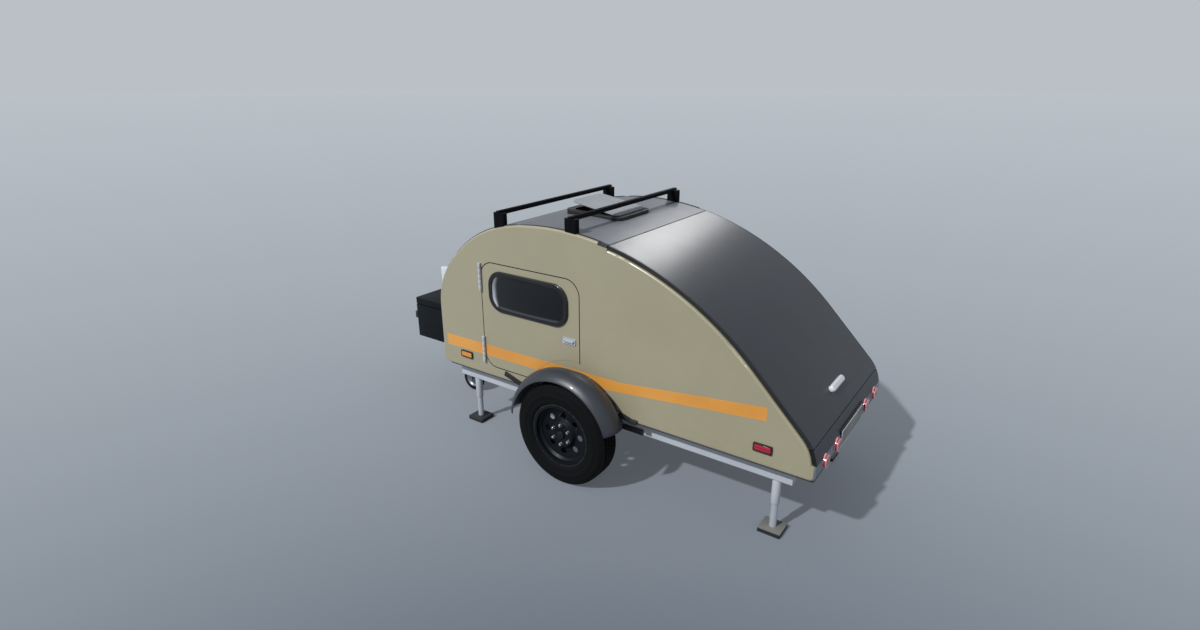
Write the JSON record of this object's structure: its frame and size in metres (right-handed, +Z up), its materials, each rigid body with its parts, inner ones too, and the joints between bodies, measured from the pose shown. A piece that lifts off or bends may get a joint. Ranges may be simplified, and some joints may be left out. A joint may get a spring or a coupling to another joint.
{
  "type": "teardrop trailer",
  "caption": "Two-berth teardrop camping trailer on one axle, with side doors, rear galley hatch, fenders, roof bars, vent, toolbox, jockey wheel and corner legs.",
  "frame": {"origin": "on the ground under the middle of the whole trailer's outline", "axes": "+X towards the coupler, +Y to the trailer's left side, +Z up"},
  "size_m": [4.02, 1.784, 1.782],
  "materials": {
    "wall_paint": "satin beige paint",
    "roof_paint": "gloss dark grey paint",
    "trim_black": "satin black",
    "tail_silver": "silver paint",
    "frame_grey": "light grey coating",
    "chassis_black": "black coating",
    "galvanised": "zinc plated",
    "tyre": "black rubber",
    "rim_dark": "dark grey wheel paint",
    "hub_steel": "bright steel",
    "fender_grey": "dark grey plastic",
    "glass_dark": "dark tinted pane",
    "plywood": "varnished ply",
    "lamp_red": "red lens",
    "lamp_amber": "amber lens",
    "lamp_white": "clear lens",
    "white": "white plastic",
    "bar_black": "black anodised"
  },
  "bodies": {
    "trailer": {"wall_left": "wall_paint", "wall_right": "wall_paint", "roof_skin": "roof_paint", "rear_valance": "roof_paint", "tail_panel": "tail_silver", "floor_panel": "plywood", "bulkhead": "plywood", "galley_counter": "plywood", "galley_cabinet": "plywood", "hatch_hinge": "trim_black", "door_hinges": "frame_grey", "side_rails": "frame_grey", "crossmembers": "frame_grey", "drawbar": "chassis_black", "coupler": "galvanised", "axle_plates": "chassis_black", "axle": "chassis_black", "fenders": "fender_grey", "fender_stays": "chassis_black", "leg_sleeves": "frame_grey", "leg_feet": "galvanised", "jockey_clamp": "galvanised", "toolbox": "chassis_black", "crossbar_front": "bar_black", "crossbar_rear": "bar_black", "vent_frame": "trim_black", "tail_lamps": "lamp_red", "side_markers_amber": "lamp_amber", "side_markers_red": "lamp_red", "front_lamps": "lamp_white", "plate_holder": "trim_black", "number_plate": "white"},
    "wheel_left_body": {"tyre_left": "tyre", "rim_left": "rim_dark", "wheel_hub_left": "hub_steel"},
    "wheel_right_body": {"tyre_right": "tyre", "rim_right": "rim_dark", "wheel_hub_right": "hub_steel"},
    "door_left_body": {"door_left": "wall_paint", "door_window_frame_left": "trim_black", "door_pane_left": "glass_dark", "door_handle_left": "frame_grey"},
    "door_right_body": {"door_right": "wall_paint", "door_window_frame_right": "trim_black", "door_pane_right": "glass_dark", "door_handle_right": "frame_grey"},
    "hatch_body": {"hatch_panel": "roof_paint", "hatch_trims": "trim_black", "hatch_handle": "white"},
    "vent_lid_body": {"vent_lid": "white"},
    "toolbox_lid_body": {"toolbox_lid": "chassis_black"},
    "jockey_fork_body": {"jockey_fork": "galvanised"},
    "jockey_wheel_body": {"jockey_wheel": "tyre"}
  },
  "joints": [
    {"name": "wheel_left_spin", "type": "hinge", "parent": "trailer", "child": "wheel_left_body", "pos_m": [-0.37, 0.79, 0.36], "axis": [0, 1, 0], "continuous": true},
    {"name": "wheel_right_spin", "type": "hinge", "parent": "trailer", "child": "wheel_right_body", "pos_m": [-0.37, -0.79, 0.36], "axis": [0, 1, 0], "continuous": true},
    {"name": "door_left_swing", "type": "hinge", "parent": "trailer", "child": "door_left_body", "pos_m": [0.4655, 0.676, 0.985], "axis": [0, 0, -1], "range_deg": [0, 100]},
    {"name": "door_right_swing", "type": "hinge", "parent": "trailer", "child": "door_right_body", "pos_m": [0.4655, -0.676, 0.985], "axis": [0, 0, 1], "range_deg": [0, 100]},
    {"name": "hatch_lift", "type": "hinge", "parent": "trailer", "child": "hatch_body", "pos_m": [-0.6105, 0, 1.63881], "axis": [0, 1, 0], "range_deg": [0, 75]},
    {"name": "vent_lid_tilt", "type": "hinge", "parent": "trailer", "child": "vent_lid_body", "pos_m": [-0.36091, 0, 1.70253], "axis": [0, -1, 0], "range_deg": [-7.2, 24]},
    {"name": "toolbox_lid_lift", "type": "hinge", "parent": "trailer", "child": "toolbox_lid_body", "pos_m": [1.2037, 0, 0.803], "axis": [0, -1, 0], "range_deg": [0, 90]},
    {"name": "jockey_turn", "type": "hinge", "parent": "trailer", "child": "jockey_fork_body", "pos_m": [1.16, 0.167, 0.262], "axis": [0, 0, 1], "continuous": true},
    {"name": "jockey_wheel_spin", "type": "hinge", "parent": "jockey_fork_body", "child": "jockey_wheel_body", "pos_m": [1.125, 0.167, 0.105], "axis": [0, 1, 0], "continuous": true}
  ]
}
